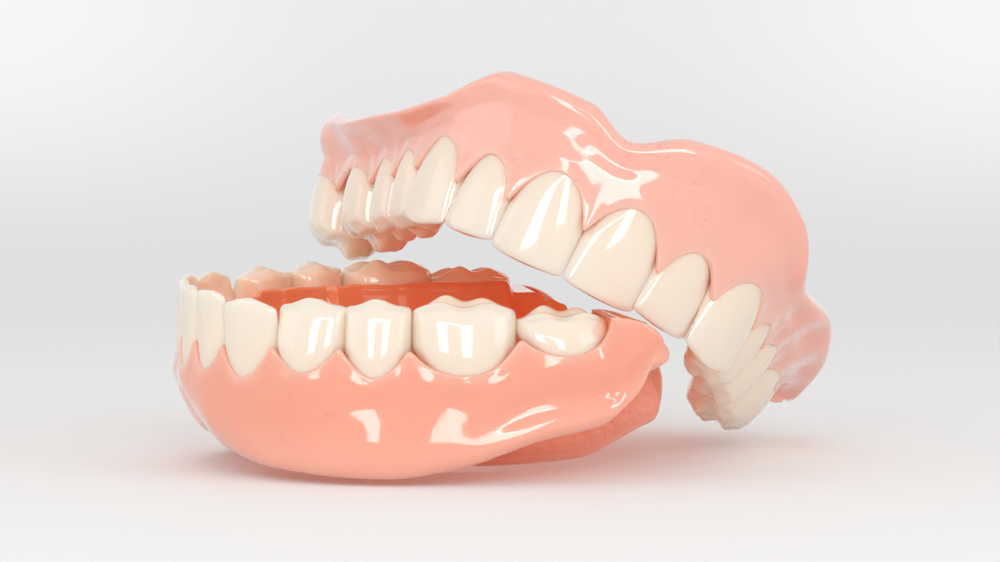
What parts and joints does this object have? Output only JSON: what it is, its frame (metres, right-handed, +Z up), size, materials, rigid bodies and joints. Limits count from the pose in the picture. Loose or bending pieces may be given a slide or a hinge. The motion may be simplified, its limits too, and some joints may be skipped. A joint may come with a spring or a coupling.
{
  "type": "full denture",
  "caption": "Matched upper and lower full denture in pink acrylic with ivory moulded teeth; the lower stands on its borders and the upper leans across its back.",
  "frame": {"origin": "on the floor, under the middle of the whole set's box", "axes": "+Z up from the floor; the lower denture's front teeth face -Y and the wearer's left is at +X; the upper denture leans across the lower one's back, turned so that its front faces +X"},
  "size_m": [0.0636, 0.078, 0.0434],
  "materials": {
    "pink_acrylic": "polished, slightly translucent pink acrylic",
    "ivory_tooth": "polished ivory acrylic"
  },
  "bodies": {
    "root": {"lower_base": "pink_acrylic", "lower_left_canine": "ivory_tooth", "lower_left_central_incisor": "ivory_tooth", "lower_left_first_molar": "ivory_tooth", "lower_left_first_premolar": "ivory_tooth", "lower_left_lateral_incisor": "ivory_tooth", "lower_left_second_molar": "ivory_tooth", "lower_left_second_premolar": "ivory_tooth", "lower_right_canine": "ivory_tooth", "lower_right_central_incisor": "ivory_tooth", "lower_right_first_molar": "ivory_tooth", "lower_right_first_premolar": "ivory_tooth", "lower_right_lateral_incisor": "ivory_tooth", "lower_right_second_molar": "ivory_tooth", "lower_right_second_premolar": "ivory_tooth", "upper_base": "pink_acrylic", "upper_left_canine": "ivory_tooth", "upper_left_central_incisor": "ivory_tooth", "upper_left_first_molar": "ivory_tooth", "upper_left_first_premolar": "ivory_tooth", "upper_left_lateral_incisor": "ivory_tooth", "upper_left_second_molar": "ivory_tooth", "upper_left_second_premolar": "ivory_tooth", "upper_right_canine": "ivory_tooth", "upper_right_central_incisor": "ivory_tooth", "upper_right_first_molar": "ivory_tooth", "upper_right_first_premolar": "ivory_tooth", "upper_right_lateral_incisor": "ivory_tooth", "upper_right_second_molar": "ivory_tooth", "upper_right_second_premolar": "ivory_tooth"}
  },
  "joints": []
}
